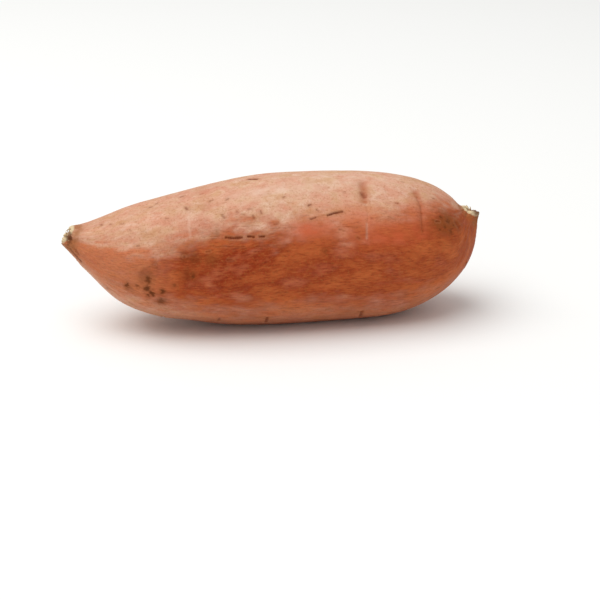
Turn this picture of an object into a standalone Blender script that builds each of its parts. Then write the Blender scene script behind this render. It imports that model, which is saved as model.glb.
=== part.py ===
"""Sweet potato: one storage root, grown in one piece with the snapped stubs at both ends.

Long axis +X, up +Z, metres. It lies on a small flat spot on its belly at z = 0. The tail
stub is at the -X end and the crown stub at the +X end.
"""

import math
import random

import bmesh
import bpy
from mathutils import Matrix, Vector

NAME = "sweet_potato"

# overall sizes
LENGTH = 0.1815  # between the middles of the two broken stub faces
THICKNESS = 0.0684  # top to bottom through the belly, before the resting spot
WIDTH = 0.0696  # side to side through the belly
FLAT_DEPTH = 0.0016  # how much of the belly the resting spot takes off

# broken stubs
TAIL_STUB_DIAMETER = 0.0088
TAIL_HOLLOW_DEPTH = 0.0022
CROWN_STUB_DIAMETER = 0.0088
CROWN_NUB_HEIGHT = 0.0011
STUB_RIM_SHARE = 0.30  # width of the woody rim as a share of the stub's radius
RIM_CREASE = 0.45

# sections of the root: share of the length, thickness and width as shares of the
# belly's, height of the middle as a share of the belly's thickness, sideways sway as
# a share of its width, and lean in degrees, positive where the top leans to +X
SECTIONS = (
    (0.011, 0.172, 0.168, 0.630, 0.014, 18.0),
    (0.027, 0.238, 0.230, 0.597, 0.011, 8.0),
    (0.049, 0.330, 0.320, 0.564, 0.007, 4.0),
    (0.082, 0.465, 0.450, 0.529, 0.000, 2.0),
    (0.119, 0.592, 0.580, 0.502, -0.009, 1.0),
    (0.164, 0.695, 0.695, 0.490, -0.017, 0.0),
    (0.222, 0.786, 0.790, 0.482, -0.024, 0.0),
    (0.286, 0.832, 0.850, 0.488, -0.026, 0.0),
    (0.363, 0.922, 0.920, 0.486, -0.017, 0.0),
    (0.450, 0.984, 0.975, 0.494, -0.003, 0.0),
    (0.551, 1.000, 1.000, 0.496, 0.011, 0.0),
    (0.654, 0.998, 1.000, 0.493, 0.023, 0.0),
    (0.749, 0.970, 0.980, 0.482, 0.029, 0.0),
    (0.831, 0.915, 0.922, 0.485, 0.029, 0.0),
    (0.899, 0.785, 0.800, 0.499, 0.024, -2.0),
    (0.949, 0.602, 0.620, 0.520, 0.019, -5.0),
    (0.978, 0.440, 0.455, 0.554, 0.013, -12.0),
    (0.991, 0.300, 0.310, 0.602, 0.009, -24.0),
    (0.997, 0.190, 0.195, 0.652, 0.006, -38.0),
)
TAIL_FACE = (0.000, 0.654, 0.016, 38.0)  # share of the length, height, sway, lean
CROWN_FACE = (1.000, 0.687, 0.004, -59.0)

# cage
AROUND = 12
SUBDIVISIONS = 2
LOBES = 3
LOBE_SHARE = 0.012  # how far the section is from a plain oval
LOBE_TWIST = 2.2  # turn of the lobes from end to end, radians
LUMP_SHARE = 0.010  # random swelling of each cage point
LUMPS_FROM = 0.08  # no lumps nearer the ends than these shares of the length
LUMPS_TO = 0.94
SEED = 11

SKIN_COLOUR = (0.42, 0.16, 0.07, 1.0)
SKIN_ROUGHNESS = 0.7


def clear_scene():
    for thing in list(bpy.data.objects):
        bpy.data.objects.remove(thing, do_unlink=True)


def new_collection(name):
    collection = bpy.data.collections.new(name)
    bpy.context.scene.collection.children.link(collection)
    return collection


def skin_material():
    material = bpy.data.materials.new("sweet_potato_skin")
    material.use_nodes = True
    shader = material.node_tree.nodes["Principled BSDF"]
    shader.inputs["Base Color"].default_value = SKIN_COLOUR
    shader.inputs["Roughness"].default_value = SKIN_ROUGHNESS
    shader.inputs["Metallic"].default_value = 0.0
    return material


def cage_growth():
    """How much larger than the finished root the cage has to be around its sections."""
    return 1.0 / (2.0 / 3.0 + math.cos(2.0 * math.pi / AROUND) / 3.0)


def stub_size(face, diameter):
    share, lift, sway, lean = face
    return share, diameter / 2, diameter / 2, lift * THICKNESS, sway * WIDTH, lean


def section_sizes():
    """Every section from tail to crown: share, half height, half width, lift, sway, lean."""
    sizes = [stub_size(TAIL_FACE, TAIL_STUB_DIAMETER)]
    for share, high, wide, lift, sway, lean in SECTIONS:
        half_high = high * THICKNESS / 2
        half_wide = wide * WIDTH / 2
        sizes.append((share, half_high, half_wide, lift * THICKNESS, sway * WIDTH, lean))
    sizes.append(stub_size(CROWN_FACE, CROWN_STUB_DIAMETER))
    return sizes


def place_section(verts, angle_of, sizes, rng):
    """Puts one ring of cage points on its section."""
    share, half_high, half_wide, lift, sway, lean = sizes
    centre = Vector(((share - 0.5) * LENGTH, sway, lift))
    turn = Matrix.Rotation(math.radians(lean), 3, "Y")
    lumpy = LUMPS_FROM < share < LUMPS_TO
    for vert in verts:
        angle = vert[angle_of]
        swell = cage_growth()
        if lumpy:
            swell *= 1.0 + LOBE_SHARE * math.cos(LOBES * angle + LOBE_TWIST * share)
            swell *= 1.0 + rng.uniform(-LUMP_SHARE, LUMP_SHARE)
        across = half_wide * math.cos(angle) * swell
        up = half_high * math.sin(angle) * swell
        vert.co = centre + turn @ Vector((0.0, across, up))


def extrude_ring(bm, face, keep_face):
    """Extrudes the end face on the spot and gives back the new end face."""
    grown = bmesh.ops.extrude_face_region(bm, geom=[face])
    if not keep_face:
        bm.faces.remove(face)
    new_faces = [item for item in grown["geom"] if isinstance(item, bmesh.types.BMFace)]
    return new_faces[0]


def crease_border(bm, face):
    crease = bm.edges.layers.float["crease_edge"]
    for edge in face.edges:
        edge[crease] = RIM_CREASE


def break_stub(bm, face, radius, depth):
    """Insets a stub's end face and pushes its middle in (or out, for a negative depth)."""
    crease_border(bm, face)
    normal = face.normal.copy()
    bmesh.ops.inset_region(bm, faces=[face], thickness=radius * STUB_RIM_SHARE)
    bmesh.ops.inset_region(bm, faces=[face], thickness=radius * STUB_RIM_SHARE)
    bmesh.ops.translate(bm, verts=face.verts[:], vec=-normal * depth)


def build_cage():
    """A circle extruded and scaled from section to section, with both ends closed."""
    bm = bmesh.new()
    bm.edges.layers.float.new("crease_edge")
    angle_of = bm.verts.layers.float.new("angle")
    rng = random.Random(SEED)
    ring = bmesh.ops.create_circle(bm, cap_ends=True, segments=AROUND, radius=1.0)["verts"]
    for vert in ring:
        vert[angle_of] = math.atan2(vert.co.y, vert.co.x)
    tail_face = bm.faces[:][0]
    crown_face = tail_face
    sizes = section_sizes()
    place_section(ring, angle_of, sizes[0], rng)
    for section in sizes[1:]:
        crown_face = extrude_ring(bm, crown_face, keep_face=crown_face == tail_face)
        place_section(crown_face.verts, angle_of, section, rng)
    bmesh.ops.recalc_face_normals(bm, faces=bm.faces[:])
    break_stub(bm, tail_face, TAIL_STUB_DIAMETER / 2, TAIL_HOLLOW_DEPTH)
    break_stub(bm, crown_face, CROWN_STUB_DIAMETER / 2, -CROWN_NUB_HEIGHT)
    bm.verts.layers.float.remove(angle_of)
    return bm


def apply_modifiers(root):
    """Turns the root's modifiers into mesh, so that it can be set in its frame."""
    bpy.context.view_layer.update()
    graph = bpy.context.evaluated_depsgraph_get()
    solid = bpy.data.meshes.new_from_object(root.evaluated_get(graph))
    cage = root.data
    root.modifiers.clear()
    root.data = solid
    solid.name = cage.name
    bpy.data.meshes.remove(cage)


def smooth_root(collection):
    """The root before its resting spot: the cage under a Subdivision Surface."""
    mesh = bpy.data.meshes.new(NAME)
    bm = build_cage()
    bm.to_mesh(mesh)
    bm.free()
    root = bpy.data.objects.new(NAME, mesh)
    collection.objects.link(root)
    subdivide = root.modifiers.new("soft_form", "SUBSURF")
    subdivide.levels = SUBDIVISIONS
    subdivide.render_levels = SUBDIVISIONS
    apply_modifiers(root)
    return root


def rest_cutter(root, collection):
    """A block that reaches FLAT_DEPTH up into the lowest part of the belly."""
    low = min(vert.co.z for vert in root.data.vertices)
    mesh = bpy.data.meshes.new("rest_cutter")
    bm = bmesh.new()
    size = Vector((LENGTH, WIDTH, THICKNESS / 2))
    bmesh.ops.create_cube(bm, size=1.0, matrix=Matrix.Diagonal(size).to_4x4())
    top = Vector((0.0, 0.0, low + FLAT_DEPTH - size.z / 2))
    bmesh.ops.translate(bm, verts=bm.verts[:], vec=top)
    bm.to_mesh(mesh)
    bm.free()
    cutter = bpy.data.objects.new("rest_cutter", mesh)
    cutter.hide_render = True
    cutter.display_type = "WIRE"
    collection.objects.link(cutter)
    return cutter


def cut_resting_spot(root, cutter):
    cut = root.modifiers.new("resting_spot", "BOOLEAN")
    cut.operation = "DIFFERENCE"
    cut.solver = "EXACT"
    cut.object = cutter
    apply_modifiers(root)


def centre_on_frame(root, cutter):
    """Moves both so that the middle of the root's underside is the origin."""
    points = [vert.co for vert in root.data.vertices]
    low = Vector([min(point[axis] for point in points) for axis in range(3)])
    high = Vector([max(point[axis] for point in points) for axis in range(3)])
    shift = Vector((-(low.x + high.x) / 2, -(low.y + high.y) / 2, -low.z))
    root.data.transform(Matrix.Translation(shift))
    cutter.data.transform(Matrix.Translation(shift))


def main():
    clear_scene()
    parts = new_collection(NAME)
    cutters = new_collection("cutters")
    root = smooth_root(parts)
    cutter = rest_cutter(root, cutters)
    cut_resting_spot(root, cutter)
    centre_on_frame(root, cutter)
    root.data.materials.clear()
    root.data.materials.append(skin_material())
    root.data.shade_smooth()


main()
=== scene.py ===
import math
import random

import bpy
import numpy as np
from mathutils import Matrix, Vector, noise


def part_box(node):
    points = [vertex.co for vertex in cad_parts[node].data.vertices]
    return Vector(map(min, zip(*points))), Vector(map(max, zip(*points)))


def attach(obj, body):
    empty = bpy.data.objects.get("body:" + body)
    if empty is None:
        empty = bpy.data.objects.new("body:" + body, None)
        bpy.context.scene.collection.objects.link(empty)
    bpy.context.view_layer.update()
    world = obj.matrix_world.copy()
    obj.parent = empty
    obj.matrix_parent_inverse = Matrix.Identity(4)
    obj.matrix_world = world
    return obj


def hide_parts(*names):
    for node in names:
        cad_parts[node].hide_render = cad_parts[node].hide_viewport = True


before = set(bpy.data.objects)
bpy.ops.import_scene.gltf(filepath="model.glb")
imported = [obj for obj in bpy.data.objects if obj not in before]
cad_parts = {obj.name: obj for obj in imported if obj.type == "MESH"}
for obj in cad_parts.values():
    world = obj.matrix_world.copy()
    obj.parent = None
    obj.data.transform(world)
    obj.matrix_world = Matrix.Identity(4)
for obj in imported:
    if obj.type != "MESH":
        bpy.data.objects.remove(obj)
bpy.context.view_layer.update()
MM = 0.001

# ---- Body and skin ----
# The swollen storage root itself, grown as one piece from the thin tail stub to the
# blunter crown stub. It is solid flesh under a papery cork skin, so one closed skin
# stands for all of it.
SKIN_CELL = 0.95 * MM  # face size of the skin
MERGE_WITHIN = 0.01 * MM
FACET_SMOOTHING = 18  # rounds of smoothing, to take the solid's facets off
STUB_REACH = 10 * MM  # how far from each end the form keeps its sharp stubs
END_SMOOTHING = 0.04  # the share of the smoothing that the very ends get
STATION_INSET = 1.5 * MM  # from each end to the first station of the middle line
STATION_REACH = 2.5 * MM  # how far along the root a station gathers skin points
STATION_COUNT = 90
ROUND_RADIUS = 33 * MM  # radius of the even cylinder that the grain is laid out on
SHOULDER = 15 * MM  # how far from the crown end the root starts to round off
CROWN_STUB_Y, CROWN_STUB_Z = -0.9 * MM, 45.7 * MM  # where the vine came out


def select_only(thing):
    bpy.ops.object.select_all(action="DESELECT")
    thing.select_set(True)
    bpy.context.view_layer.objects.active = thing


def apply_all(thing):
    select_only(thing)
    for modifier in list(thing.modifiers):
        bpy.ops.object.modifier_apply(modifier=modifier.name)


def points_of(thing):
    co = np.empty(len(thing.data.vertices) * 3)
    thing.data.vertices.foreach_get("co", co)
    return co.reshape(-1, 3)


cad_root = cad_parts["sweet_potato"]
select_only(cad_root)
bpy.ops.object.duplicate()
skin = bpy.context.object
skin.name = "skin"
skin.parent = None
skin.matrix_world = Matrix.Identity(4)
for key in list(skin.keys()):
    del skin[key]
select_only(skin)
bpy.ops.object.mode_set(mode="EDIT")
bpy.ops.mesh.select_all(action="SELECT")
bpy.ops.mesh.remove_doubles(threshold=MERGE_WITHIN)
bpy.ops.object.mode_set(mode="OBJECT")

remesh = skin.modifiers.new("even_faces", "REMESH")
remesh.mode = "VOXEL"
remesh.voxel_size = SKIN_CELL
apply_all(skin)

tail_end, crown_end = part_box("sweet_potato")[0][0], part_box("sweet_potato")[1][0]
skin_points = points_of(skin)
from_ends = np.minimum(skin_points[:, 0] - tail_end, crown_end - skin_points[:, 0])
soften = skin.vertex_groups.new(name="soften")
for index, share in enumerate(np.clip(from_ends / STUB_REACH - 0.25, END_SMOOTHING, 1.0)):
    soften.add([index], float(share), "REPLACE")
smooth = skin.modifiers.new("no_facets", "SMOOTH")
smooth.factor = 0.5
smooth.iterations = FACET_SMOOTHING
smooth.vertex_group = "soften"
apply_all(skin)

# The middle line of the root, station by station, from which angles round it are taken.
# Past the shoulder it bends up to the vine stub, where the skin's grain draws together.
station_x = np.linspace(tail_end + STATION_INSET, crown_end - STATION_INSET, STATION_COUNT)
station_y, station_z = [], []
skin_points = points_of(skin)
for x in station_x:
    near = skin_points[np.abs(skin_points[:, 0] - x) < STATION_REACH]
    station_y.append((near[:, 1].min() + near[:, 1].max()) / 2)
    station_z.append((near[:, 2].min() + near[:, 2].max()) / 2)
bend = np.clip((station_x - crown_end + SHOULDER) / (SHOULDER - 4 * MM), 0, 1)
bend = bend * bend * (3 - 2 * bend)
station_y = np.array(station_y) * (1 - bend) + CROWN_STUB_Y * bend
station_z = np.array(station_z) * (1 - bend) + CROWN_STUB_Z * bend


def angle_round(points):
    """Angle round the root in degrees: 0 on top, 90 on the -Y side, 180 underneath."""
    middle_y = np.interp(points[:, 0], station_x, station_y)
    middle_z = np.interp(points[:, 0], station_x, station_z)
    return np.degrees(np.arctan2(middle_y - points[:, 1], points[:, 2] - middle_z))


skin_angles = angle_round(skin_points)

# ---- Broken stubs ----
# Both ends were snapped off: the thin tail root at one end and the vine at the crown.
# Each leaves a short neck with a torn face of pale woody fibre, drier and darker in
# the middle. Place and radius are the solid's own, in mm; the direction is outwards.
TAIL_FACE_AT = (tail_end / MM + 3.0, -0.1, 43.4)
TAIL_FACE_OUT = (-0.74, -0.20, 0.64)
CROWN_FACE_AT = (crown_end / MM - 3.8, CROWN_STUB_Y / MM, CROWN_STUB_Z / MM)
CROWN_FACE_OUT = (0.44, -0.30, 0.85)
STUB_RADIUS = 4.3  # mm
# On the crown a dead knob of vine stands at the outer edge; at the tail the near side of
# the torn face has dried to a dark hollow, taller than it is wide.
KNOB_AT = (CROWN_FACE_AT[0] + 2.4, CROWN_FACE_AT[1] - 2.1, CROWN_FACE_AT[2] - 0.2)
KNOB_OUT, KNOB_RADIUS, KNOB_HEIGHT = (0.60, -0.20, 0.77), 2.3, 1.3  # mm
HOLLOW_AT = (TAIL_FACE_AT[0] + 0.4, TAIL_FACE_AT[1] - 4.6, TAIL_FACE_AT[2] - 0.4)
HOLLOW_IN, HOLLOW_RADIUS, HOLLOW_DEPTH = (0.35, 0.93, 0.0), 1.8, 0.9  # mm
HOLLOW_STRETCH = (1.25, 1.0, 0.65)


def stub_place(points, face_at, face_out):
    """Height over a stub's face, distance from its middle and angle round it, in mm."""
    out = Vector(face_out).normalized()
    side = out.cross(Vector((0, 1, 0))).normalized()
    other = out.cross(side)
    off = points / MM - np.array(face_at)
    height = off @ np.array(out)
    across = off @ np.array(side)
    deep = off @ np.array(other)
    return height, np.hypot(across, deep), np.arctan2(deep, across)


# ---- Marks in the skin ----
# What growing and handling left: growth cracks along the root, slanted nicks, round
# breathing pores, and the short cross scars where side roots fell off. Each is a
# groove or pit in the skin with a slightly raised corky edge.
FINE_REACH = 1.6 * MM  # how far round a mark the skin gets smaller faces
STUB_FINE_REACH = 5.2 * MM  # and how far round the middle of a stub's face
TRACE_STEP = 0.3  # mm between the points of a mark's line
NEIGHBOURS, EVENED_OVER = 12, 0.5 * MM  # skin points that one point of a line evens out
# Cracks: stations (x in mm, angle in degrees), half width, depth in mm, darkness 0..1.
CRACKS = (
    ([(-24.5, 60.5), (-21.0, 61.5), (-17.5, 62)], 0.45, 0.50, 0.95),
    ([(-15.0, 62), (-12.5, 63)], 0.40, 0.45, 0.95),
    ([(-10.0, 63), (-8.0, 63.5)], 0.40, 0.40, 0.90),
    ([(-7.0, 63.5), (-4.0, 62)], 0.30, 0.15, 0.35),
    ([(20.5, 50.5), (23.5, 49), (27.0, 48)], 0.40, 0.45, 0.90),
    ([(13.0, 53), (15.0, 52)], 0.40, 0.30, 0.70),
    ([(15.0, 52), (20.0, 50.5)], 0.30, 0.10, 0.20),
    ([(-10.5, 3), (-7.5, 5)], 0.60, 0.40, 1.00),
    ([(38.0, 31), (38.5, 33)], 1.05, 0.50, 0.70),
    ([(38.5, 41), (38.5, 51), (37.5, 61), (37.5, 71)], 0.45, 0.15, 0.05),
    ([(62.5, 32), (63.5, 40), (63.5, 48), (63.0, 56), (63.0, 64)], 0.55, 0.25, 0.15),
    ([(80.0, 54), (81.5, 64)], 0.75, 0.35, 0.45),
    ([(-91.0, 108), (-88.5, 116), (-86.0, 120)], 0.65, 0.35, 0.85),
    ([(-88.5, 84), (-87.0, 100)], 0.50, 0.25, 0.55),
)
# Hairlines: long shallow wrinkles along the root, in the same terms.
HAIRLINES = (
    ([(-34.0, 58), (-25.0, 59)], 0.25, 0.15, 0.30),
    ([(-21.0, 53), (-10.0, 55)], 0.25, 0.10, 0.25),
    ([(-5.0, 58), (6.0, 59)], 0.25, 0.15, 0.30),
    ([(-31.0, 66), (-17.0, 69)], 0.25, 0.15, 0.30),
    ([(-12.0, 70), (2.0, 71)], 0.25, 0.15, 0.25),
    ([(-52.0, 75), (-44.0, 77)], 0.25, 0.10, 0.25),
    ([(24.0, 60), (35.0, 60)], 0.25, 0.10, 0.25),
    ([(42.0, 55), (54.0, 54)], 0.25, 0.10, 0.25),
)
# Cross dips: a shallow valley round the root, wider than a crack and redder.
DIPS = (
    ([(39.0, 19), (38.5, 27), (38.0, 38)], 2.2, 0.80, 0.45),
    ([(62.0, 27), (63.5, 40), (63.0, 62)], 1.9, 0.50, 0.40),
    ([(-31.0, -8), (-31.5, 14), (-30.5, 30)], 3.5, 0.35, 0.10),
    ([(8.0, 196), (9.0, 214), (8.0, 232)], 2.6, 0.70, 0.45),
    ([(-44.0, 262), (-43.5, 284), (-44.0, 300)], 2.4, 0.60, 0.40),
)
# Scuffs: pale dry scratches.
SCUFFS = (
    [(54.0, 8), (57.5, 14), (58.5, 22)],
    [(50.5, 24), (56.0, 27)],
    [(45.0, 12), (51.5, 13)],
    [(-39.0, 36), (-39.5, 47), (-39.5, 56)],
    [(37.5, 58), (37.0, 69)],
    [(-12.0, 24), (-2.0, 26), (11.0, 29)],
    [(-66.0, 33), (-60.0, 37)],
    [(24.0, 226), (33.0, 222)],
    [(-20.0, 272), (-14.0, 281)],
    [(50.0, 300), (56.0, 306)],
)
# Nicks and pores: x in mm, angle, how far they run along (mm) and round (degrees),
# half width and depth in mm, darkness.
NICKS = (
    (-55.5, 14, 1.2, 0, 0.35, 0.20, 0.70),
    (-52.5, 10, 0.9, 0, 0.35, 0.20, 0.60),
    (-41.5, 9, 1.3, -1, 0.40, 0.20, 0.60),
    (-40.0, 27, 0.3, 2, 0.50, 0.25, 0.70),
    (-29.5, 24, 1.3, 0, 0.35, 0.20, 0.60),
    (-22.5, 27, 0.9, -1, 0.35, 0.20, 0.55),
    (-25.0, 41, 0.8, 3, 0.40, 0.20, 0.60),
    (-18.5, 40, 0.4, 1, 0.50, 0.20, 0.40),
    (-16.5, 43, 0.8, 1, 0.35, 0.20, 0.40),
    (-12.0, 46, 0.5, 2, 0.40, 0.20, 0.60),
    (-8.5, 43, 0.4, 2, 0.35, 0.20, 0.55),
    (-13.5, 40, 1.4, 0, 0.30, 0.15, 0.40),
    (2.0, 33, 0.8, -1, 0.35, 0.20, 0.65),
    (12.5, 42, 0.9, -1, 0.40, 0.25, 0.75),
    (16.0, 46, 0.8, 1, 0.30, 0.20, 0.50),
    (-76.5, 19, 0.4, 2, 0.50, 0.20, 0.60),
    (-73.0, 26, 0.9, 1, 0.30, 0.20, 0.45),
    (69.5, 55, 1.6, 0, 0.35, 0.25, 0.75),
    (-33.0, 11, 0.9, 0, 0.30, 0.20, 0.45),
    (-68.0, 30, 1.0, 1, 0.30, 0.20, 0.45),
    (-64.5, 41, 0.6, 2, 0.30, 0.20, 0.40),
    (-49.0, 36, 1.2, 0, 0.35, 0.20, 0.45),
    (52.0, 40, 0.9, 0, 0.30, 0.20, 0.45),
    (47.5, 52, 1.2, 1, 0.30, 0.15, 0.45),
    (29.0, 30, 0.8, 0, 0.30, 0.15, 0.40),
    (25.0, 62, 1.3, 0, 0.30, 0.15, 0.45),
    (33.0, 68, 0.9, 1, 0.35, 0.15, 0.50),
    (-3.0, 55, 1.0, 0, 0.30, 0.20, 0.45),
    (-62.0, 60, 0.8, 0, 0.35, 0.20, 0.50),
    (-33.0, 70, 1.4, 0, 0.35, 0.20, 0.55),
    (-24.0, 78, 1.6, 0, 0.35, 0.20, 0.50),
    (57.0, 14, 0.8, 1, 0.30, 0.20, 0.45),
    (70.0, 30, 0.9, 0, 0.35, 0.20, 0.45),
)
# Soft rot and soil in the pores low on the tail half: x, angle, radius, darkness.
MOULD = (
    (-58.0, 95, 1.6, 0.95),
    (-59.0, 93, 3.8, 0.42),
    (-38.0, 75, 2.4, 0.42),
    (-31.0, 77, 2.6, 0.40),
    (-28.5, 56, 1.4, 0.28),
    (-67.0, 107, 1.0, 0.95),
    (-66.0, 109, 2.2, 0.40),
    (-58.5, 105, 1.3, 1.00),
    (-57.0, 108, 1.1, 0.95),
    (-58.0, 113, 1.0, 1.00),
    (-56.0, 112, 0.9, 0.90),
    (-52.0, 106, 1.2, 0.95),
    (-52.5, 117, 1.9, 0.80),
    (-39.0, 90, 1.3, 0.80),
    (-41.5, 88, 2.8, 0.32),
    (-62.5, 104, 0.9, 0.60),
    (-47.0, 98, 0.9, 0.50),
    (-75.0, 133, 0.8, 0.70),
    (72.0, 50, 0.8, 0.70),
    (75.5, 53, 1.1, 0.75),
    (78.0, 58, 0.7, 0.80),
    (73.5, 60, 0.8, 0.65),
    (76.5, 64, 1.0, 0.70),
    (71.0, 63, 0.6, 0.60),
)
# Healed round scars: x, angle, radius of the ring, darkness.
RINGS = (
    (-42.5, 73, 1.6, 0.60),
    (-55.0, 80, 1.2, 0.40),
    (18.0, 77, 1.0, 0.35),
    (-8.0, 205, 1.5, 0.55),
    (31.0, 244, 1.3, 0.50),
    (-49.0, 236, 1.2, 0.50),
)
rng = random.Random(23)
# The far side and the belly, angles 118 to 338, have marks of the same kinds.
FAR_FROM, FAR_TO, FAR_NICK_COUNT = 118.0, 338.0, 36
far_cracks = [
    ([(-34.0, 236), (-27.5, 238), (-21.0, 237)], 0.50, 0.50, 0.95),
    ([(-18.5, 237), (-14.0, 238)], 0.42, 0.40, 0.85),
    ([(8.0, 291), (15.5, 293)], 0.45, 0.45, 0.95),
    ([(42.0, 262), (47.5, 259)], 0.45, 0.45, 0.90),
    ([(-58.0, 314), (-52.0, 316)], 0.40, 0.35, 0.80),
    ([(24.0, 318), (29.5, 316)], 0.42, 0.40, 0.85),
]
# Side-root scars sit in five rows along a sweet potato; three rows are on this side.
SCAR_ROW_ANGLES = (150.0, 222.0, 292.0)
SCAR_STATIONS = range(-62, 75, 34)  # mm along the root
root_scars = []
for row_angle in SCAR_ROW_ANGLES:
    for x_mm in SCAR_STATIONS:
        place_x = x_mm + rng.uniform(-13, 13)
        place_angle = row_angle + rng.uniform(-13, 13)
        half_span = rng.uniform(2, 6)
        root_scars.append(
            ([(place_x, place_angle - half_span), (place_x, place_angle + half_span)],
             rng.uniform(0.45, 0.7), rng.uniform(0.35, 0.6), rng.uniform(0.4, 0.8))
        )
far_nicks = []
for _ in range(FAR_NICK_COUNT):
    far_nicks.append(
        (rng.uniform(-78, 76), rng.uniform(FAR_FROM, FAR_TO), rng.uniform(0.3, 1.5),
         rng.uniform(-2, 2), rng.uniform(0.25, 0.45), rng.uniform(0.15, 0.28),
         rng.uniform(0.3, 0.6))
    )
nicks = [
    ([(x_mm, angle), (x_mm + along, angle + round_it)], *rest)
    for x_mm, angle, along, round_it, *rest in list(NICKS) + far_nicks
]


def on_skin(x_mm, angle):
    """The skin's point at a station and an angle, evened out over its neighbours."""
    aside = (skin_angles - angle + 180.0) % 360.0 - 180.0
    off = (skin_points[:, 0] - x_mm * MM) ** 2 + (np.radians(aside) * ROUND_RADIUS) ** 2
    near = np.argsort(off)[:NEIGHBOURS]
    weight = np.exp(-(off[near] - off[near[0]]) / EVENED_OVER ** 2)
    return (skin_points[near] * weight[:, None]).sum(axis=0) / weight.sum()


def trace(stations):
    """A fine chain of skin points through (x in mm, angle) stations."""
    chain = []
    for (x0, a0), (x1, a1) in zip(stations, stations[1:]):
        long = math.hypot(x1 - x0, math.radians(a1 - a0) * ROUND_RADIUS / MM)
        steps = max(2, int(long / TRACE_STEP))
        for step in range(steps):
            share = step / steps
            chain.append(on_skin(x0 + (x1 - x0) * share, a0 + (a1 - a0) * share))
    chain.append(on_skin(*stations[-1]))
    return np.array(chain)


def reach_from(chain, points):
    """Each point's distance to the nearest point of a chain."""
    nearest = np.full(len(points), 1.0)
    for mark in chain:
        nearest = np.minimum(nearest, np.linalg.norm(points - mark, axis=1))
    return nearest


grooves = [(trace(stations), *rest) for stations, *rest in
           list(CRACKS + HAIRLINES) + far_cracks + root_scars + nicks]
rings = [(on_skin(x_mm, angle), *rest) for x_mm, angle, *rest in RINGS]
spots = [(on_skin(x_mm, angle), *rest) for x_mm, angle, *rest in MOULD]
all_marks = np.vstack([chain for chain, *_ in grooves]
                      + [[middle] for middle, *_ in rings + spots])

# Smaller faces round every mark and at both stubs, so that their edges are crisp.
for reach in (FINE_REACH, FINE_REACH * 0.45):
    skin_points = points_of(skin)
    centres = np.empty(len(skin.data.polygons) * 3)
    skin.data.polygons.foreach_get("center", centres)
    centres = centres.reshape(-1, 3)
    stub_middles = np.array([TAIL_FACE_AT, CROWN_FACE_AT]) * MM
    at_stub = reach_from(stub_middles, centres) < STUB_FINE_REACH + reach
    fine = at_stub | (reach_from(all_marks, centres) < reach)
    select_only(skin)
    bpy.ops.object.mode_set(mode="EDIT")
    bpy.ops.mesh.select_all(action="DESELECT")
    bpy.ops.mesh.select_mode(type="FACE")
    bpy.ops.object.mode_set(mode="OBJECT")
    skin.data.polygons.foreach_set("select", fine)
    bpy.ops.object.mode_set(mode="EDIT")
    bpy.ops.mesh.subdivide(number_cuts=1, quadcorner="INNERVERT")
    bpy.ops.object.mode_set(mode="OBJECT")


def normals_of(thing):
    normals = np.empty(len(thing.data.vertices) * 3)
    thing.data.vertices.foreach_get("normal", normals)
    return normals.reshape(-1, 3)


skin_points = points_of(skin)
skin_normals = normals_of(skin)
skin_angles = angle_round(skin_points)
turn = np.radians(skin_angles)
from_tail = skin_points[:, 0] - tail_end
from_crown = crown_end - skin_points[:, 0]

# The grain: millimetres from stub to stub over the skin and round an even cylinder, so
# that the skin's long streaks draw together at both stubs.
skin_x = skin_points[:, 0] / MM
over_tail = np.linalg.norm(skin_points / MM - np.array(TAIL_FACE_AT), axis=1)
over_crown = np.linalg.norm(skin_points / MM - np.array(CROWN_FACE_AT), axis=1)
crownward = np.clip(0.5 + skin_x / 90, 0, 1)
crownward = crownward * crownward * (3 - 2 * crownward)
along_grain = ((tail_end / MM + over_tail) * (1 - crownward)
               + (crown_end / MM - over_crown) * crownward)
grain = np.stack(
    [along_grain, np.sin(turn) * ROUND_RADIUS / MM, np.cos(turn) * ROUND_RADIUS / MM], axis=1
)


def grain_noise(points, along_mm, round_mm, octaves, seed):
    """Even noise from -1 to 1, stretched along the root."""
    shift = Vector((seed * 13.7, seed * 7.1, seed * 3.3))
    scale = np.array([1 / along_mm, 1 / round_mm, 1 / round_mm])
    return np.array([
        noise.fractal(Vector(point) + shift, 1.0, 2.0, octaves) for point in points * scale
    ])


lumps = grain_noise(grain, 34, 17, 2, 1)
folds = grain_noise(grain, 15, 6.5, 3, 2)
ridges = grain_noise(grain, 16, 2.3, 2, 3)
near_end = np.exp(-from_tail / (9 * MM)) + np.exp(-from_crown / (7 * MM))
# Heights in mm: broad lumps, folds, and fine ridges that stand higher near the stubs.
LUMP_HEIGHT, FOLD_HEIGHT, RIDGE_HEIGHT, END_RIDGE_HEIGHT = 0.55, 0.16, 0.045, 0.26
ridge_height = RIDGE_HEIGHT + END_RIDGE_HEIGHT * np.clip(near_end, 0, 1)
relief = lumps * LUMP_HEIGHT + folds * FOLD_HEIGHT + ridges * ridge_height

cork = np.zeros(len(skin_points))
scuffs_and_sheen = np.zeros(len(skin_points))
dark = np.zeros(len(skin_points))
mould = np.zeros(len(skin_points))
halo = np.zeros(len(skin_points))
edge_noise = grain_noise(grain, 1.6, 1.1, 3, 4)
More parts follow.
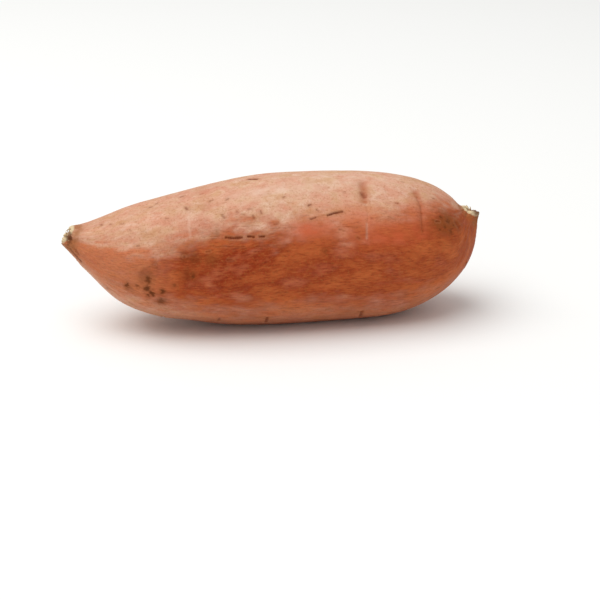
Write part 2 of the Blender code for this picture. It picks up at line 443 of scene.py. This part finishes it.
# A groove: its edge wanders, and it has a brown halo and a raised corky lip. Distances
# are in half widths, heights and tints are shares of the groove's depth and darkness.
EDGE_WANDER, HALO_REACH, HALO_SHARE = 0.18, 2.2, 0.60
LIP_AT, LIP_WIDE, LIP_SHARE = 2.1, 0.8, 0.22
for chain, half_width, depth, darkness in grooves:
    away = reach_from(chain, skin_points) / MM + edge_noise * EDGE_WANDER
    bottom = np.exp(-(np.clip(away, 0, None) / half_width) ** 2)
    near_by = np.exp(-(away / (half_width * HALO_REACH)) ** 2)
    halo = np.maximum(halo, near_by * darkness * HALO_SHARE)
    lip = np.exp(-((away - half_width * LIP_AT) / (half_width * LIP_WIDE)) ** 2)
    relief += lip * depth * LIP_SHARE - bottom * depth
    dark = np.maximum(dark, bottom * darkness ** 2)
    cork = np.maximum(cork, lip * LIP_SHARE * darkness)
redder = np.zeros(len(skin_points))
for stations, half_width, depth, redness in DIPS:
    away = reach_from(trace(stations), skin_points) / MM
    valley = np.exp(-(away / half_width) ** 2)
    relief -= depth * valley
    redder = np.maximum(redder, valley * redness)
    halo = np.maximum(halo, valley * redness * 0.9)
SCUFF_HALF_WIDTH, SCUFF_DEPTH, SCUFF_SHARE = 0.55, 0.05, 0.26  # mm, mm, how pale
for stations in SCUFFS:
    away = reach_from(trace(stations), skin_points) / MM + edge_noise * 0.2
    scratch = np.exp(-(np.clip(away, 0, None) / SCUFF_HALF_WIDTH) ** 2)
    relief -= scratch * SCUFF_DEPTH
    scuffs_and_sheen = np.maximum(scuffs_and_sheen, scratch * SCUFF_SHARE)
RING_HALF_WIDTH, RING_DEPTH, HEART_DEPTH = 0.42, 0.16, 0.22  # mm
for middle, radius, darkness in rings:
    away = np.linalg.norm(skin_points - middle, axis=1) / MM + edge_noise * 0.15
    groove = np.exp(-((away - radius) / RING_HALF_WIDTH) ** 2)
    heart = np.exp(-(np.clip(away, 0, None) / (radius * 0.45)) ** 2)
    relief -= groove * RING_DEPTH + heart * HEART_DEPTH
    dark = np.maximum(dark, np.maximum(groove * 0.7, heart) * darkness)
    halo = np.maximum(halo, np.exp(-(away / (radius * 1.6)) ** 2) * darkness)
MOULD_DEPTH = 0.18  # mm
for middle, radius, darkness in spots:
    away = np.linalg.norm(skin_points - middle, axis=1) / MM + edge_noise * 1.1
    patch = np.exp(-(np.clip(away, 0, None) / radius) ** 3) * darkness
    relief -= patch * MOULD_DEPTH
    mould = np.maximum(mould, patch)
    halo = np.maximum(halo, np.exp(-(away / (radius * 1.9)) ** 2) * darkness * 0.6)

# The torn faces: a jagged woody rim round a sunken middle, a dark one at the tail, and
# on the crown a dead knob of vine at its outer edge.
RIM_AT, RIM_WIDE, MIDDLE_WIDE = 0.80, 0.24, 0.52  # shares of the stub's radius
RIM_HEIGHT, TEAR_HEIGHT, NECK_LONG = 0.45, 1.1, 4.2  # mm
TORN_FACES = (  # place, direction, how deep and dark the middle is, and which tear
    (TAIL_FACE_AT, TAIL_FACE_OUT, 1.7, 31),
    (CROWN_FACE_AT, CROWN_FACE_OUT, 0.7, 37),
)
wood = np.zeros(len(skin_points))
char = np.zeros(len(skin_points))
collar = np.zeros(len(skin_points))
push = np.zeros((len(skin_points), 3))
for face_at, face_out, hollow, seed in TORN_FACES:
    height, ring, around = stub_place(skin_points, face_at, face_out)
    at_face = 1 / (1 + np.exp(-(height + 1.3) / 0.25)) * (ring < STUB_RADIUS * 1.6)
    share = ring / STUB_RADIUS
    tear_at = zip(np.cos(around) * 2.4, np.sin(around) * 2.4, seed + ring * 0.35)
    tear = np.array([noise.fractal(Vector(point), 1.0, 2.0, 3) for point in tear_at])
    rim = np.exp(-((share - RIM_AT) / RIM_WIDE) ** 2)
    middle = np.exp(-(share / MIDDLE_WIDE) ** 4)
    lift = rim * (RIM_HEIGHT + tear * TEAR_HEIGHT) - middle * (hollow + tear * 0.5)
    lift *= at_face
    push += np.array(Vector(face_out).normalized()) * lift[:, None]
    face_share = at_face * np.clip((1.12 - share) / 0.12, 0, 1)
    wood = np.maximum(wood, face_share * np.clip(1 - middle * 0.5 * hollow + tear * 0.3, 0, 1))
    char = np.maximum(char, face_share * np.clip(middle * hollow * 0.75 - tear * 0.5, 0, 1))
    neck_long = NECK_LONG + tear * 3.0
    neck = np.exp(-(np.clip(-height, 0, None) / neck_long) ** 2)
    neck *= np.clip((2.4 - share) / 0.8, 0, 1)
    collar = np.maximum(collar, neck * np.clip(0.85 + tear * 0.9, 0, 1))
    relief -= neck * (1 - at_face) * np.abs(tear) * 0.35
to_knob = np.linalg.norm(skin_points / MM - np.array(KNOB_AT), axis=1)
knob = np.exp(-(to_knob / (KNOB_RADIUS + edge_noise * 0.4)) ** 4)
push += np.array(KNOB_OUT) * (knob * KNOB_HEIGHT)[:, None]
to_hollow = (skin_points / MM - np.array(HOLLOW_AT)) * np.array(HOLLOW_STRETCH)
to_hollow = np.linalg.norm(to_hollow, axis=1)
hollow_side = np.exp(-(to_hollow / (HOLLOW_RADIUS + edge_noise * 0.6)) ** 4)
push += np.array(HOLLOW_IN) * (hollow_side * HOLLOW_DEPTH)[:, None]
char = np.maximum(char, np.maximum(knob, hollow_side))

skin_points = skin_points + skin_normals * (relief * MM)[:, None] + push * MM
skin_points[:, 2] = np.maximum(skin_points[:, 2], 0.0)
skin.data.vertices.foreach_set("co", skin_points.ravel())
skin.data.update()


def store(thing, name, values):
    layer = thing.data.attributes.new(name, "FLOAT", "POINT")
    layer.data.foreach_set("value", np.asarray(values, dtype=np.float32).ravel())


def patch_at(x_mm, angle, along_mm, round_mm):
    """1 at a place on the skin, falling off along and round the root."""
    aside = (skin_angles - angle + 180.0) % 360.0 - 180.0
    off_along = (skin_x - x_mm) / along_mm
    off_round = np.radians(aside) * ROUND_RADIUS / MM / round_mm
    return np.exp(-(off_along ** 2 + off_round ** 2))


# Where the skin is rubbed to a redder layer, worn paler by scuffs or stained brown, and where
# long pale bands of painted sheen lie on the upper side.
patch_noise = grain_noise(grain, 7, 4, 4, 6)
cloud_noise = grain_noise(grain, 17, 10, 3, 7)
rubbed = (
    patch_at(13, 61, 9, 5.5) * 0.75
    + patch_at(50, 66, 18, 5) * 0.8
    + patch_at(33, 50, 9, 7) * 0.45
    + patch_at(62, 46, 8, 6) * 0.40
    + patch_at(-24, 214, 16, 8) * 0.7
    + patch_at(34, 281, 14, 7) * 0.7
) * np.clip(0.85 + patch_noise * 0.9, 0, 1.4)
rubbed = np.maximum(rubbed, redder)
# The first two of these patches are long pale bands of painted sheen on the upper side.
scuffs_and_sheen = np.maximum(scuffs_and_sheen, (
    patch_at(-2, 24, 17, 3) * 0.5
    + patch_at(32, 12, 20, 5) * 0.45
    + patch_at(-12, 250, 14, 3) * 0.4
) * np.clip(0.8 + patch_noise * 1.5, 0, 1.5))
blotch = np.clip(1.3 + patch_noise * 1.6 + edge_noise, 0, 1.7)
stained = np.maximum(patch_at(74.5, 55, 7.5, 7) * blotch, halo)
# A pale dry bloom lies on the upper side, and its soft edge wanders. It is partly painted
# highlight: the upper side is painted paler where the key light falls on it.
BLOOM_SHEEN_STATIONS = (-85, -55, -44, -30, 8, 35, 63, 78)  # mm along the root
BLOOM_SHEEN_EDGES = (57, 66, 61, 53, 56, 53, 42, 34)  # degrees down from the top
BLOOM_SHEEN_FADES = (18, 19, 20, 19, 19, 20, 18, 15)  # degrees to either side of the edge
lean = np.abs((skin_angles + 180.0) % 360.0 - 180.0)
bloom_sheen_edge = np.interp(skin_x, BLOOM_SHEEN_STATIONS, BLOOM_SHEEN_EDGES)
bloom_sheen_fade = np.interp(skin_x, BLOOM_SHEEN_STATIONS, BLOOM_SHEEN_FADES)
bloom_and_sheen = 0.5 + (bloom_sheen_edge + patch_noise * 15 + cloud_noise * 4 - lean) / (2 * bloom_sheen_fade)
bloom_and_sheen = np.clip(bloom_and_sheen, 0, 1)
bloom_and_sheen = bloom_and_sheen * bloom_and_sheen * (3 - 2 * bloom_and_sheen)
# The bloom and its painted highlight are weaker towards both ends.
bloom_and_sheen *= np.interp(skin_x, (-85, -45, 0, 45, 80), (0.78, 0.90, 1.0, 1.06, 0.80))
# The low rim is painted paler too: painted light bounced up from the floor, strongest on the
# tail half.
low_rim_from = np.interp(skin_x, (-76, -58), (0.12, 0.30))
low_rim_bounce = np.clip((patch_noise * 0.2 - skin_normals[:, 2] - low_rim_from) / 0.40, 0, 1)
low_rim_bounce *= np.interp(skin_x, (-60, -30), (0.74, 0.32))
bloom_and_sheen = np.maximum(bloom_and_sheen, low_rim_bounce)
bloom_and_sheen = np.maximum(bloom_and_sheen, 0.20 * np.interp(skin_x, (-88, -62, -45), (1, 1, 0)))
bloom_and_sheen *= 1 - 0.6 * np.clip(rubbed, 0, 1)
rosy = (
    patch_at(34, 48, 20, 9) * 0.75
    + patch_at(64, 42, 9, 7) * 0.60
    + patch_at(-60, 62, 12, 6) * 0.35
    + np.clip(cloud_noise * 0.6 + patch_noise * 0.4 - 0.10, 0, 0.4)
)
# How deep the brick tone is: darker tone that varies at random, plus painted shade on the near
# flank, darkest in its middle and towards the crown, and lighter at the tail end.
deep = (
    0.42 + cloud_noise * 0.65 + patch_noise * 0.50
    + patch_at(-28, 82, 24, 14) * 0.72
    + patch_at(64, 52, 20, 12) * 0.50
    + patch_at(22, 94, 30, 14) * 0.28
    - patch_at(-72, 80, 18, 22) * 0.50
)

SKIN_SHARES = {
    "bloom_and_sheen": bloom_and_sheen, "deep": deep, "rosy": rosy, "rubbed": rubbed, "stained": stained,
    "cork": cork, "scuffs_and_sheen": scuffs_and_sheen, "dark": dark, "mould": mould, "wood": wood,
    "char": char, "collar": collar,
}
for name, share in SKIN_SHARES.items():
    store(skin, name, np.clip(share, 0, 1))
grain_layer = skin.data.attributes.new("grain", "FLOAT_VECTOR", "POINT")
grain_layer.data.foreach_set("vector", grain.astype(np.float32).ravel())
skin.data.shade_smooth()

# Sweet potato periderm: a thin papery cork skin, dry and matt with a faint satin. It
# shows fine long streaks and a bran-like speckle of russet, rose and peach, with a
# paler dusty bloom where it dried, on the upper side. Light and shade are partly painted
# in: the upper side and the low rim are painted paler where light falls on them, pale
# bands of sheen are painted on top, and the near flank is painted darker as shade.
# Patterns under 0.9 mm are too fine to show and are drawn at 0.9 mm.


def from_hex(text):
    """An sRGB hex colour as linear RGBA."""
    parts = [int(text[i:i + 2], 16) / 255 for i in (1, 3, 5)]
    linear = [c / 12.92 if c <= 0.04045 else ((c + 0.055) / 1.055) ** 2.4 for c in parts]
    return (*linear, 1.0)


def add_node(tree, kind, settings=None, links=None):
    """Adds a node; settings are its properties and socket values, links its inputs."""
    node = tree.nodes.new(kind)
    for name, value in (settings or {}).items():
        if isinstance(name, str) and hasattr(node, name):
            setattr(node, name, value)
        else:
            node.inputs[name].default_value = value
    for name, source in (links or {}).items():
        tree.links.new(source, node.inputs[name])
    return node


def new_material(name):
    material = bpy.data.materials.new(name)
    material.use_nodes = True
    return material, material.node_tree, material.node_tree.nodes["Principled BSDF"]


RUSSET = from_hex("#BC602F")
BRICK_AND_SHADE = from_hex("#8F300B")
DARK_STREAK = from_hex("#6E250B")
PALE_STREAK = from_hex("#C87643")
ROSE = from_hex("#C05A33")
SALMON = from_hex("#D27C58")
# Bloom tints, which also carry the painted highlight on the upper side.
PEACH_BLOOM_SHEEN = from_hex("#D9AE91")
BEIGE_BLOOM_SHEEN = from_hex("#CC9F79")
PINK_BLOOM_SHEEN = from_hex("#D3997F")
PALE_DUST = from_hex("#E4C3AC")
BRAN_BROWN = from_hex("#A2602F")

skin_material, tree, skin_shader = new_material("sweet_potato_periderm")
place = add_node(tree, "ShaderNodeTexCoord")
grain_in = add_node(tree, "ShaderNodeAttribute", {"attribute_name": "grain"})
# Pattern sizes in mm, along the root and round it; bran is even and reads the place.
PATTERNS = {"clouds": (9, 7), "mottle": (3.0, 2.4), "streaks": (2.6, 0.75), "dust": (5.5, 4.0)}
pattern = {}
for order, (name, (along, round_it)) in enumerate(PATTERNS.items()):
    laid = add_node(tree, "ShaderNodeMapping",
                    {"Location": (order * 9.7, order * 4.1, order * 6.3),
                     "Scale": (1 / along, 1 / round_it, 1 / round_it)},
                    {"Vector": grain_in.outputs["Vector"]})
    pattern[name] = add_node(tree, "ShaderNodeTexNoise",
                             {"Scale": 1.0, "Detail": 4.0, "Roughness": 0.62},
                             {"Vector": laid.outputs["Vector"]})
pattern["bran"] = add_node(tree, "ShaderNodeTexNoise",
                           {"Scale": 1 / 0.0009, "Detail": 3.0, "Roughness": 0.6},
                           {"Vector": place.outputs["Object"]})
streaks = pattern["streaks"]
bloom_and_sheen_in = add_node(tree, "ShaderNodeAttribute", {"attribute_name": "bloom_and_sheen"})
deep_and_shade_in = add_node(tree, "ShaderNodeAttribute", {"attribute_name": "deep"})
rosy_in = add_node(tree, "ShaderNodeAttribute", {"attribute_name": "rosy"})

# Each layer is laid over the last: pattern, the values where it starts and is full,
# how much of it shows, and its colour.
SKIN_LAYERS = (
    ("mottle", 0.48, 0.72, 0.40, ROSE),
    ("streaks", 0.50, 0.70, 0.60, DARK_STREAK),
    ("streaks", 0.46, 0.28, 0.40, PALE_STREAK),
)
# The bare skin goes from russet to brick as 'deep' rises, and so carries the painted shade on
# the near flank.
bare = add_node(tree, "ShaderNodeMix", {"data_type": "RGBA", 6: RUSSET, 7: BRICK_AND_SHADE},
                {0: deep_and_shade_in.outputs["Fac"]})
rosy_bare = add_node(tree, "ShaderNodeMix", {"data_type": "RGBA", 7: SALMON},
                     {0: rosy_in.outputs["Fac"], 6: bare.outputs[2]})
colour = rosy_bare.outputs[2]
for name, start, full, most, tint in SKIN_LAYERS:
    share = add_node(tree, "ShaderNodeMapRange",
                     {"From Min": start, "From Max": full, "To Max": most},
                     {"Value": pattern[name].outputs["Fac"]})
    mixed = add_node(tree, "ShaderNodeMix", {"data_type": "RGBA", 7: tint},
                     {0: share.outputs["Result"], 6: colour})
    colour = mixed.outputs[2]

# The bloom and its painted highlight are thinner along the dark streaks and turn from peach to
# beige and pink.
pink_share = add_node(tree, "ShaderNodeMapRange",
                      {"From Min": 0.46, "From Max": 0.62, "To Max": 0.85},
                      {"Value": pattern["clouds"].outputs["Fac"]})
beige_share = add_node(tree, "ShaderNodeMapRange",
                       {"From Min": 0.50, "From Max": 0.34, "To Max": 0.90},
                       {"Value": pattern["clouds"].outputs["Fac"]})
pinked = add_node(tree, "ShaderNodeMix", {"data_type": "RGBA", 6: PEACH_BLOOM_SHEEN, 7: PINK_BLOOM_SHEEN},
                  {0: pink_share.outputs["Result"]})
bloom_sheen_tint = add_node(tree, "ShaderNodeMix", {"data_type": "RGBA", 7: BEIGE_BLOOM_SHEEN},
                      {0: beige_share.outputs["Result"], 6: pinked.outputs[2]})
dust_share = add_node(tree, "ShaderNodeMapRange",
                      {"From Min": 0.52, "From Max": 0.68, "To Max": 0.5},
                      {"Value": pattern["dust"].outputs["Fac"]})
dusted = add_node(tree, "ShaderNodeMix", {"data_type": "RGBA", 7: PALE_DUST},
                  {0: dust_share.outputs["Result"], 6: bloom_sheen_tint.outputs[2]})
bloom_sheen_gap = add_node(tree, "ShaderNodeMapRange",
                     {"From Min": 0.30, "From Max": 0.70, "To Min": 1.04, "To Max": 0.88},
                     {"Value": streaks.outputs["Fac"]})
mottle_gap = add_node(tree, "ShaderNodeMapRange",
                      {"From Min": 0.35, "From Max": 0.68, "To Min": 1.06, "To Max": 0.80},
                      {"Value": pattern["mottle"].outputs["Fac"]})
gaps = add_node(tree, "ShaderNodeMath", {"operation": "MULTIPLY"},
                {0: bloom_sheen_gap.outputs["Result"], 1: mottle_gap.outputs["Result"]})
bloom_sheen_share = add_node(tree, "ShaderNodeMath", {"operation": "MULTIPLY", "use_clamp": True},
                       {0: bloom_and_sheen_in.outputs["Fac"], 1: gaps.outputs[0]})
bloomed_and_sheened = add_node(tree, "ShaderNodeMix", {"data_type": "RGBA"},
                   {0: bloom_sheen_share.outputs[0], 6: colour, 7: dusted.outputs[2]})
bran_share = add_node(tree, "ShaderNodeMapRange",
                      {"From Min": 0.52, "From Max": 0.70, "To Max": 0.48},
                      {"Value": pattern["bran"].outputs["Fac"]})
speckled = add_node(tree, "ShaderNodeMix", {"data_type": "RGBA", 7: BRAN_BROWN},
                    {0: bran_share.outputs["Result"], 6: bloomed_and_sheened.outputs[2]})
colour = speckled.outputs[2]

# Marks over the skin, each where its own attribute says: how much shows and its colour.
MARK_LAYERS = (
    ("rubbed", 0.85, "#C85C36"),
    # Scuffs, and the bands of painted sheen.
    ("scuffs_and_sheen", 0.80, "#E6CAB4"),
    ("stained", 0.84, "#88461A"),
    ("cork", 0.90, "#C0906A"),
    ("mould", 0.90, "#5C2A04"),
    ("dark", 0.92, "#662300"),
    ("collar", 0.75, "#9C6238"),
    ("wood", 1.00, "#DCC6A0"),
    ("char", 0.95, "#693A1E"),
)
for name, most, tint in MARK_LAYERS:
    mark = add_node(tree, "ShaderNodeAttribute", {"attribute_name": name})
    share = add_node(tree, "ShaderNodeMath", {"operation": "MULTIPLY", 1: most},
                     {0: mark.outputs["Fac"]})
    mixed = add_node(tree, "ShaderNodeMix", {"data_type": "RGBA", 7: from_hex(tint)},
                     {0: share.outputs[0], 6: colour})
    colour = mixed.outputs[2]
tree.links.new(colour, skin_shader.inputs["Base Color"])

rough = add_node(tree, "ShaderNodeMapRange",
                 {"From Min": 0.3, "From Max": 0.7, "To Min": 0.50, "To Max": 0.68},
                 {"Value": pattern["mottle"].outputs["Fac"]})
tree.links.new(rough.outputs["Result"], skin_shader.inputs["Roughness"])
bran_bump = add_node(tree, "ShaderNodeBump", {"Strength": 0.5, "Distance": 0.0002},
                     {"Height": pattern["bran"].outputs["Fac"]})
streak_bump = add_node(tree, "ShaderNodeBump", {"Strength": 0.5, "Distance": 0.0003},
                       {"Height": streaks.outputs["Fac"], "Normal": bran_bump.outputs["Normal"]})
tree.links.new(streak_bump.outputs["Normal"], skin_shader.inputs["Normal"])
skin_shader.inputs["IOR"].default_value = 1.45
skin_shader.inputs["Specular IOR Level"].default_value = 0.15
skin.data.materials.clear()
skin.data.materials.append(skin_material)

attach(skin, "root")
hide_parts("sweet_potato")

# ---- Torn fibres ----
# Dry vascular strands that were left standing round the rim of each torn face when the
# tail root and the vine snapped. They are tapered, a little bent, and grown into the
# wood of the stub. One strand is modelled and copied.
STRAND_RADIUS = 0.20 * MM
STRAND_STEPS = ((0.06, 0.6, 0.95), (0.16, 0.6, 0.92), (0.26, 0.4, 0.80))  # aside, up, taper
STRAND_FOOT = 0.8  # mm, its plain lower length
STRAND_COUNT = 20  # on each stub
bpy.ops.object.select_all(action="DESELECT")
bpy.ops.mesh.primitive_cylinder_add(vertices=6, radius=STRAND_RADIUS, depth=STRAND_FOOT * MM,
                                    location=(0, 0, 0))
strand = bpy.context.object
bpy.ops.object.mode_set(mode="EDIT")
bpy.ops.mesh.select_all(action="DESELECT")
bpy.ops.mesh.select_mode(type="FACE")
bpy.ops.object.mode_set(mode="OBJECT")
top_face = [face.normal.z > 0.9 for face in strand.data.polygons]
strand.data.polygons.foreach_set("select", top_face)
bpy.ops.object.mode_set(mode="EDIT")
top_x, top_z = 0.0, STRAND_FOOT / 2
for aside, up, taper in STRAND_STEPS:
    bpy.ops.mesh.extrude_region_move(
        TRANSFORM_OT_translate={"value": (aside * MM, 0, up * MM)})
    top_x, top_z = top_x + aside, top_z + up
    bpy.ops.transform.resize(value=(taper, taper, 1),
                             center_override=(top_x * MM, 0, top_z * MM))
bpy.ops.object.mode_set(mode="OBJECT")

# Dried woody fibre: a dead vascular strand, straw to light brown in short stretches and
# quite matt. Its tones change about every 0.55 mm across and 1.4 mm along.
fibre_material, fibre_tree, fibre_shader = new_material("dried_woody_fibre")
fibre_place = add_node(fibre_tree, "ShaderNodeTexCoord")
fibre_laid = add_node(fibre_tree, "ShaderNodeMapping", {"Scale": (1800, 1800, 700)},
                      {"Vector": fibre_place.outputs["Object"]})
fibre_tone = add_node(fibre_tree, "ShaderNodeTexNoise", {"Scale": 1.0, "Detail": 2.0},
                      {"Vector": fibre_laid.outputs["Vector"]})
fibre_share = add_node(fibre_tree, "ShaderNodeMapRange", {"From Min": 0.35, "From Max": 0.65},
                       {"Value": fibre_tone.outputs["Fac"]})
fibre_colour = add_node(fibre_tree, "ShaderNodeMix",
                        {"data_type": "RGBA", 6: from_hex("#A57E4C"), 7: from_hex("#DDC99C")},
                        {0: fibre_share.outputs["Result"]})
fibre_tree.links.new(fibre_colour.outputs[2], fibre_shader.inputs["Base Color"])
fibre_shader.inputs["Roughness"].default_value = 0.8

for piece_name, face_at, face_out in (
    ("tail_fibres", TAIL_FACE_AT, TAIL_FACE_OUT),
    ("crown_fibres", CROWN_FACE_AT, CROWN_FACE_OUT),
):
    out = Vector(face_out).normalized()
    side = out.cross(Vector((0, 1, 0))).normalized()
    other = out.cross(side)
    strands = []
    for number in range(STRAND_COUNT):
        round_face = math.tau * (number + rng.uniform(-0.4, 0.4)) / STRAND_COUNT
        outward = side * math.cos(round_face) + other * math.sin(round_face)
        foot = (Vector(face_at) + outward * STUB_RADIUS * rng.uniform(0.62, 0.92)
                + out * rng.uniform(-0.9, -0.5))
        lean_out = (out + outward * rng.uniform(-0.1, 0.45)
                    + side * rng.uniform(-0.2, 0.2)).normalized()
        turned = lean_out.to_track_quat("Z", "X").to_matrix().to_4x4()
        long = rng.uniform(0.25, 0.55)
        spin = Matrix.Rotation(rng.uniform(0, math.tau), 4, "Z")
        grown = Matrix.Diagonal((rng.uniform(0.7, 1.6), rng.uniform(0.7, 1.6), long, 1))
        copy = bpy.data.objects.new(piece_name, strand.data.copy())
        bpy.context.scene.collection.objects.link(copy)
        copy.data.transform(Matrix.Translation(foot * MM) @ turned @ spin @ grown)
        strands.append(copy)
    select_only(strands[0])
    for copy in strands:
        copy.select_set(True)
    bpy.ops.object.join()
    fibres = bpy.context.object
    fibres.name = piece_name
    fibres.data.shade_smooth()
    fibres.data.materials.append(fibre_material)
    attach(fibres, "root")
bpy.data.objects.remove(strand)

# ---- Floor, light and camera ----
# A white sheet under a large soft light high over the tail side, with a little light
# all round, seen from a little above and slightly towards the tail.
FLOOR_WHITE = from_hex("#F4F4F2")
bpy.ops.object.select_all(action="DESELECT")
bpy.ops.mesh.primitive_plane_add(size=8.0, location=(0, 0, 0))
floor = bpy.context.object
floor.name = "floor"
# White paper sweep: uncoated card, plain and quite matt.
floor_material, floor_tree, floor_shader = new_material("white_paper_sweep")
floor_shader.inputs["Base Color"].default_value = FLOOR_WHITE
floor_shader.inputs["Roughness"].default_value = 0.9
floor_shader.inputs["Specular IOR Level"].default_value = 0.0
floor.data.materials.append(floor_material)

world = bpy.data.worlds.new("studio")
bpy.context.scene.world = world
world.use_nodes = True
sky = world.node_tree
sky.nodes.clear()
seen = add_node(sky, "ShaderNodeBackground", {"Color": (1, 1, 1, 1), "Strength": 1.05})
lit = add_node(sky, "ShaderNodeBackground", {"Color": (1, 1, 1, 1), "Strength": 0.55})
ray = add_node(sky, "ShaderNodeLightPath")
both = add_node(sky, "ShaderNodeMixShader", None, {0: ray.outputs["Is Camera Ray"],
                                                   1: lit.outputs[0], 2: seen.outputs[0]})
add_node(sky, "ShaderNodeOutputWorld", None, {"Surface": both.outputs[0]})

key_data = bpy.data.lights.new("key_softbox", "AREA")
key_data.shape = "RECTANGLE"
key_data.size = 2.5
key_data.size_y = 1.9
key_data.energy = 37.5
key = bpy.data.objects.new("key_softbox", key_data)
bpy.context.scene.collection.objects.link(key)
key.location = (-0.73, -0.15, 1.90)
key.rotation_euler = (Vector((0, 0, 0.03)) - key.location).to_track_quat("-Z", "Y").to_euler()

LOOK_AT = Vector((0.0124, 0.0, 0.0068))
DISTANCE = 0.76
ELEVATION = math.radians(20.0)
TURN = math.radians(9.0)
ahead = Vector((math.sin(TURN) * math.cos(ELEVATION), math.cos(TURN) * math.cos(ELEVATION),
                -math.sin(ELEVATION)))
camera_data = bpy.data.cameras.new("camera")
camera_data.lens = 100.0
camera_data.sensor_width = 36.0
camera_data.clip_end = 20.0
camera = bpy.data.objects.new("camera", camera_data)
bpy.context.scene.collection.objects.link(camera)
camera.location = LOOK_AT - ahead * DISTANCE
camera.rotation_euler = ahead.to_track_quat("-Z", "Y").to_euler()
bpy.context.scene.camera = camera
bpy.context.scene.view_settings.view_transform = "Standard"
